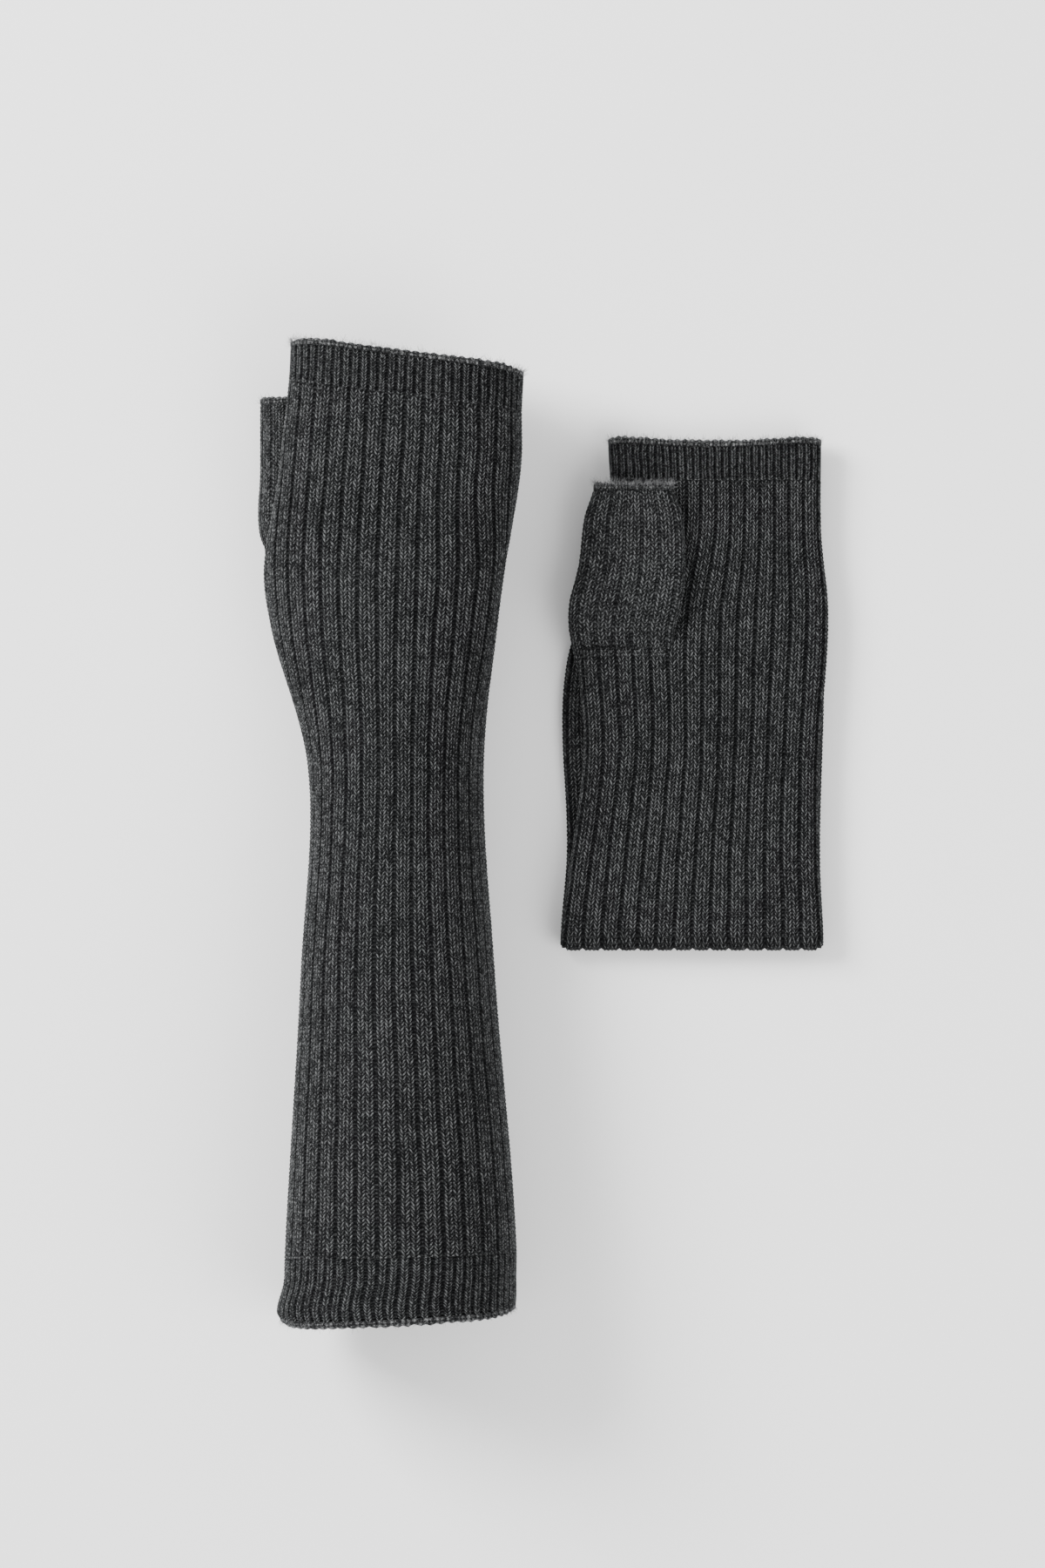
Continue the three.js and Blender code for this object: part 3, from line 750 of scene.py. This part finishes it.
def linking(name, place, outside, count, links, thick=0.00055, sink=0.0):
    """The ring of linking stitches where a thumb meets its hand."""
    root = root_courses(place, outside, count)[None, :] + 0.0002
    fraction = np.arange(count)[None, :] / count
    out = outwards(place, root, fraction)[0]
    spot = place(root, fraction)[0] - sink * out
    way = np.roll(spot, -1, axis=0) - np.roll(spot, 1, axis=0)
    way /= np.linalg.norm(way, axis=1, keepdims=True)
    over = np.cross(way, out)
    over /= np.linalg.norm(over, axis=1, keepdims=True)
    turn = np.linspace(0, 2 * math.pi, 9)[:, None]
    lump = 0.5 + 0.5 * np.cos(2 * math.pi * fraction * links + turn)
    size = (thick * (0.62 + 0.38 * lump))[:, :, None]
    grid = spot[None] + size * (np.cos(turn)[:, :, None] * out[None] + np.sin(turn)[:, :, None] * over[None])
    # painted shade for the wool's colour, darkest between the links
    painted_shade = 0.5 * (1 - lump)
    grid, painted_shade = (np.concatenate([part, part[:, :1]], axis=1) for part in (grid, painted_shade))
    return weave(name, grid, np.arange(count + 1) * 2 * links / count, np.linspace(0, 2, 9), painted_shade)


thumb_end = THUMB_LENGTH - EDGE_LENGTH
root = root_courses(on_worn_thumb, out_of_worn, THUMB_RIBS * len(RIB))
right_thumb = knit(
    "right_thumb_knit", on_worn_thumb, np.maximum(root - SPREAD_REACH, 0), thumb_end,
    THUMB_STITCH, RIB, THUMB_RIBS, THUMB_RELIEF, fade=(1, 1),
)
finish(right_thumb, None, "thumb_knit", thumb_wool, "right_thumb_sleeve")
wrist_x + thumb_outer_x
thumb_y + 0.004
wrist_x + thumb_outer_x
thumb_y + 0.030
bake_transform(right_thumb)
right_thumb_edge = looped_edge("right_thumb_bind_off", on_worn_thumb, thumb_end, THUMB_LENGTH, 2 * THUMB_RIBS)
finish(right_thumb_edge, "right_thumb_part", "edge_yarn", edge_wool, "right_thumb_edge")
hairs("right_thumb_hairs", on_worn_thumb, THUMB_LENGTH - 0.0012, 300, 0.001, 0.0025, "right_thumb_part")
right_join = linking("right_thumb_linking", on_worn_thumb, out_of_worn, 240, 40)
finish(right_join, "right_hand_part", "edge_yarn", thumb_wool, "right_thumb_join")

# ---- left sleeve ----------------------------------------------------------------------------------
# The empty glove, pressed flat and folded in half with its palm up. Half of it lies underneath, and only
# its sides look out. The fold's outside is a tight bend with the ribs standing out as scallops.
HOLLOW = 0.0016             # air left inside the pressed tube
FOLD_GAP = 0.0004           # between the two halves
UPPER_LENGTH = 0.173
LOWER_LENGTH = 0.165
half_thick = WALL + HOLLOW / 2
bend_radius = half_thick + FOLD_GAP / 2
fold_height = 2 * half_thick + FOLD_GAP / 2
bend_from = LOWER_LENGTH
bend_to = bend_from + math.pi * bend_radius
flat_length = bend_to + UPPER_LENGTH
flat_hand_from = bend_to + 0.062
flat_cuff_from = flat_length - EDGE_LENGTH - FINGER_CUFF_LENGTH
fold_low, fold_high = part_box("left_fold")
fold_x = (fold_low[0] + fold_high[0]) / 2
fold_y = fold_high[1]
EDGE_SAG = 0.0022           # the finger edge's middle lies this much below its corners
# course, x from the middle of the fold, half width
FLAT_SECTIONS = [
    (0, 0.0085, 0.0345),
    (EDGE_LENGTH + ARM_CUFF_LENGTH, 0.0085, 0.0345),
    (bend_from - 0.095, 0.0013, 0.0445),
    (bend_from - 0.026, 0.0005, 0.0440),
    (bend_from, 0, 0.0455),
    (bend_to, 0, 0.0455),
    (bend_to + 0.022, 0.0008, 0.0435),
    (flat_hand_from, 0.0033, 0.0410),
    (flat_hand_from + 0.050, 0.0042, 0.0430),
    (flat_hand_from + 0.076, 0.0078, 0.0370),
    (flat_length, 0.0078, 0.0370),
]


def on_flat(course, fraction):
    """Places on the pressed sleeve, from the middle of the side that the fold hides."""
    shift, half_width = through(FLAT_SECTIONS, course.mean(axis=1)).T[:, :, None]
    x, inner = oval_walk(fraction, half_width, half_thick)
    x, inner = fold_x + shift + x, -inner
    turn = np.clip((course - bend_from) / bend_radius, 0, math.pi)
    radius = bend_radius - inner
    before, after = np.maximum(bend_from - course, 0), np.maximum(course - bend_to, 0)
    side = (x - fold_x - shift) / half_width
    drop = EDGE_SAG * (1 - side**2) + EDGE_ROUND * side**10
    after = after - drop * smoothstep(course, flat_cuff_from - 0.006, flat_length)
    y = fold_y + before + after - radius * np.sin(turn)
    return np.stack([x, y, fold_height - radius * np.cos(turn)], axis=2)


left_forearm = knit("left_forearm_knit", on_flat, EDGE_LENGTH + ARM_CUFF_LENGTH, bend_from, fade=(0.7, 0))
finish(left_forearm, "left_arm_part", "body_rib", rib_wool, "left_forearm")
left_fold = knit("left_fold_knit", on_flat, bend_from, bend_to)
finish(left_fold, None, "body_rib", rib_wool, "left_fold")
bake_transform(left_fold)
left_wrist = knit("left_wrist_knit", on_flat, bend_to, flat_hand_from)
finish(left_wrist, "left_hand_part", "body_rib", rib_wool, "left_wrist")

# ---- left hand ------------------------------------------------------------------------------------
# The palm lies uppermost. The thumb's sleeve grows out of it and is pressed flat on it, pointing up.
FLAT_THUMB_START = 0.094
FLAT_THUMB_RISE = 0.014
thumb_rest = fold_height + bend_radius + 2 * half_thick + 0.0003
thumb_buried = fold_height + bend_radius
# course along the thumb, x from the middle of the fold, half width, height of the middle
FLAT_THUMB_SECTIONS = [
    (0, -0.0236, 0.0172, thumb_buried - 0.0008),
    (0.006, -0.0240, 0.0178, thumb_buried + 0.0008),
    (0.012, -0.0242, 0.0186, thumb_buried + 0.0036),
    (0.020, -0.0231, 0.0196, thumb_rest),
    (0.033, -0.0209, 0.0186, thumb_rest),
    (0.050, -0.0203, 0.0171, thumb_rest),
    (THUMB_LENGTH, -0.0203, 0.01375, thumb_rest),
]
flat_thumb_y = fold_y + FLAT_THUMB_START


def flat_thumb_middle(y):
    x, half_width, z = through(FLAT_THUMB_SECTIONS, np.asarray(y) - flat_thumb_y).T
    return fold_x + x, z, half_width, np.full_like(z, half_thick)


def on_flat_thumb(course, fraction):
    x, half_width, z = through(FLAT_THUMB_SECTIONS, course.ravel()).T.reshape(3, *course.shape)
    across, up = oval_walk(fraction, half_width, half_thick)
    return np.stack([fold_x + x + across, flat_thumb_y + course, z + up], axis=2)


def out_of_palm(point):
    """How far points are outside the pressed palm, as a rough distance in metres."""
    x, y, z = point
    shift, half_width = through(FLAT_SECTIONS, y - fold_y + bend_to).T
    over = np.maximum(np.abs(x - fold_x - shift) - half_width + half_thick, 0)
    return np.hypot(over, z - thumb_buried) - half_thick


left_hand = knit("left_hand_knit", on_flat, flat_hand_from, flat_cuff_from, fade=(0, 0.7), back_row=0.003)
open_for_thumb(
    left_hand, flat_thumb_middle, flat_thumb_y + 0.004, flat_thumb_y + FLAT_THUMB_RISE, thumb_buried,
)
finish(left_hand, "left_hand_part", "body_rib", rib_wool, "left_hand")

left_arm_cuff = knit(
    "left_arm_cuff_knit", on_flat, EDGE_LENGTH, EDGE_LENGTH + ARM_CUFF_LENGTH,
    CUFF_STITCH, FINE_RIB, FINE_RIBS, fade=(0, 0.7),
)
finish(left_arm_cuff, "left_arm_part", "cuff_rib", cuff_wool, "left_arm_cuff")
left_finger_cuff = knit(
    "left_finger_cuff_knit", on_flat, flat_cuff_from, flat_length - EDGE_LENGTH,
    CUFF_STITCH, FINE_RIB, FINE_RIBS, fade=(0.7, 0),
)
finish(left_finger_cuff, "left_hand_part", "cuff_rib", cuff_wool, "left_finger_cuff")
left_arm_edge = looped_edge("left_arm_cast_on", on_flat, EDGE_LENGTH, 0, FINE_RIBS)
finish(left_arm_edge, "left_arm_part", "edge_yarn", edge_wool, "left_arm_edge")
left_finger_edge = looped_edge(
    "left_finger_bind_off", on_flat, flat_length - EDGE_LENGTH, flat_length, FINE_RIBS,
)
finish(left_finger_edge, "left_hand_part", "edge_yarn", edge_wool, "left_finger_edge")
hairs("left_finger_hairs", on_flat, flat_length - 0.0012, 1500, 0.0012, 0.0026, "left_hand_part")

# ---- left thumb -----------------------------------------------------------------------------------
# The thumb's sleeve, empty and flat on the palm, with its bound-off edge just short of the cuff.
root = root_courses(on_flat_thumb, out_of_palm, THUMB_RIBS * len(RIB))
left_thumb = knit(
    "left_thumb_knit", on_flat_thumb, np.maximum(root - THUMB_SEAM, 0), thumb_end,
    THUMB_STITCH, RIB, THUMB_RIBS, THUMB_RELIEF, fade=(1, 1),
)
finish(left_thumb, None, "thumb_knit", thumb_wool, "left_thumb_sleeve")
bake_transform(left_thumb)
left_thumb_edge = looped_edge("left_thumb_bind_off", on_flat_thumb, thumb_end, THUMB_LENGTH, 2 * THUMB_RIBS)
finish(left_thumb_edge, "left_thumb_part", "edge_yarn", edge_wool, "left_thumb_edge")
hairs("left_thumb_hairs", on_flat_thumb, THUMB_LENGTH - 0.0012, 900, 0.0012, 0.0030, "left_thumb_part")
left_join = linking("left_thumb_linking", on_flat_thumb, out_of_palm, 240, 40, 0.00040, 0.0006)
finish(left_join, "left_hand_part", "edge_yarn", thumb_wool, "left_thumb_join")

# ---- table and light -----------------------------------------------------------------------------
# A white studio table under soft light from all round, a little stronger from the top left.
bm = bmesh.new()
bmesh.ops.create_grid(bm, x_segments=1, y_segments=1, size=3.0)
table_mesh = bpy.data.meshes.new("table")
bm.to_mesh(table_mesh)
bm.free()
table = bpy.data.objects.new("table", table_mesh)
bpy.context.scene.collection.objects.link(table)
white = Dye("white_table")
white.shader.inputs["Base Color"].default_value = (0.93, 0.93, 0.93, 1)
white.shader.inputs["Roughness"].default_value = 0.9
table_mesh.materials.append(white.material)


def soft_box(name, place, size, power):
    data = bpy.data.lights.new(name, "AREA")
    data.shape = "RECTANGLE"
    data.size, data.size_y = size
    data.energy = power
    light = bpy.data.objects.new(name, data)
    light.location = place
    light.rotation_euler = (-Vector(place)).to_track_quat("-Z", "Y").to_euler()
    bpy.context.scene.collection.objects.link(light)


soft_box("key", (-1.3, 0.9, 1.2), (0.9, 0.9), 80)
soft_box("fill", (1.1, -0.8, 1.5), (1.4, 1.4), 30)
world = bpy.data.worlds.new("studio")
world.use_nodes = True
world.node_tree.nodes["Background"].inputs["Color"].default_value = (1, 1, 1, 1)
world.node_tree.nodes["Background"].inputs["Strength"].default_value = 1.15
bpy.context.scene.world = world
